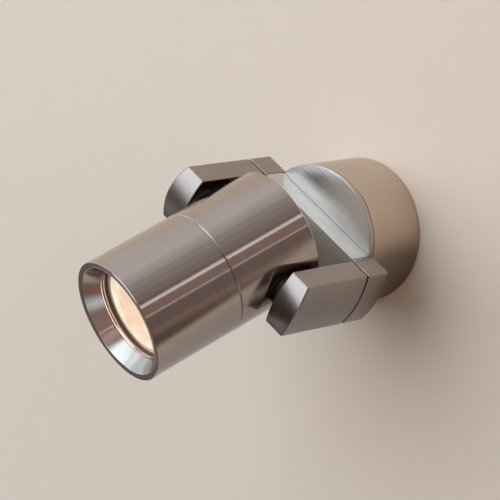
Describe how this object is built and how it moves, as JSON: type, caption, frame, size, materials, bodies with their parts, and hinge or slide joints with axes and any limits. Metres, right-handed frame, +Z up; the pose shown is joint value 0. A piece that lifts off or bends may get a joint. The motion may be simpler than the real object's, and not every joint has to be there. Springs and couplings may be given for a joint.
{
  "type": "wall spotlight",
  "caption": "Wall spotlight: a round canopy carries a turning yoke with flat-sided arms, and a round lamp tube with a tapered mouth tilts between them.",
  "frame": {"origin": "centre of the wall plate's back face, on the wall", "axes": "+Z up, -Y out of the wall into the room, +X to the right seen from the room"},
  "size_m": [0.0923, 0.1657, 0.0921],
  "materials": {
    "bronze": "fine-turned bronze-taupe anodised metal",
    "satin_aluminium": "satin machined",
    "zinc_steel": "zinc plated",
    "brass": "bright",
    "black_rubber": "matt",
    "bearing_plastic": "smooth, self-lubricating",
    "white_plastic": "moulded",
    "ceramic": "unglazed ceramic",
    "lamp_shell": "moulded lamp shell",
    "lamp_glow": "lit warm-white lens"
  },
  "bodies": {
    "base": {"canopy": "bronze", "wall_gasket": "black_rubber", "wall_plate": "zinc_steel", "hook_bracket": "zinc_steel", "lock_bracket": "zinc_steel", "canopy_lock_screw": "zinc_steel", "cable_grommet": "black_rubber", "terminal_block": "white_plastic", "terminal_screws": "brass", "earth_screw": "brass", "swivel_bush": "bearing_plastic", "swivel_friction_disc": "bearing_plastic"},
    "yoke": {"collar_ring": "bronze", "yoke_core": "satin_aluminium", "swivel_stem": "zinc_steel", "swivel_nut": "zinc_steel", "swivel_disc_spring": "zinc_steel", "swivel_stop_pin": "zinc_steel", "side_block_left": "bronze", "side_block_right": "bronze", "arm_left": "bronze", "arm_right": "bronze", "arm_screws": "zinc_steel", "pivot_bush_left": "bearing_plastic", "pivot_bush_right": "bearing_plastic", "tilt_washer_left": "bearing_plastic", "tilt_washer_right": "bearing_plastic"},
    "head": {"lamp_housing": "bronze", "rear_cap": "bronze", "pivot_stud_left": "zinc_steel", "pivot_stud_right": "zinc_steel", "pivot_nuts": "zinc_steel", "lamp_holder": "ceramic", "holder_posts": "zinc_steel", "holder_screws": "zinc_steel", "lamp_body": "lamp_shell", "lamp_pins": "brass", "lamp_lens": "lamp_glow"},
    "snoot": {"snoot": "bronze", "lamp_cushion_ring": "black_rubber"}
  },
  "joints": [
    {"name": "yoke_swivel", "type": "hinge", "parent": "base", "child": "yoke", "pos_m": [0, 0, 0], "axis": [0, -1, 0], "range_deg": [-136, 204]},
    {"name": "head_tilt", "type": "hinge", "parent": "yoke", "child": "head", "pos_m": [0, -0.087, 0], "axis": [0.829, 0, -0.5592], "range_deg": [-117.2, 62.8]},
    {"name": "snoot_removal", "type": "slide", "parent": "head", "child": "snoot", "axis": [-0.2556, -0.8894, -0.379], "range_m": [0, 0.045]}
  ]
}
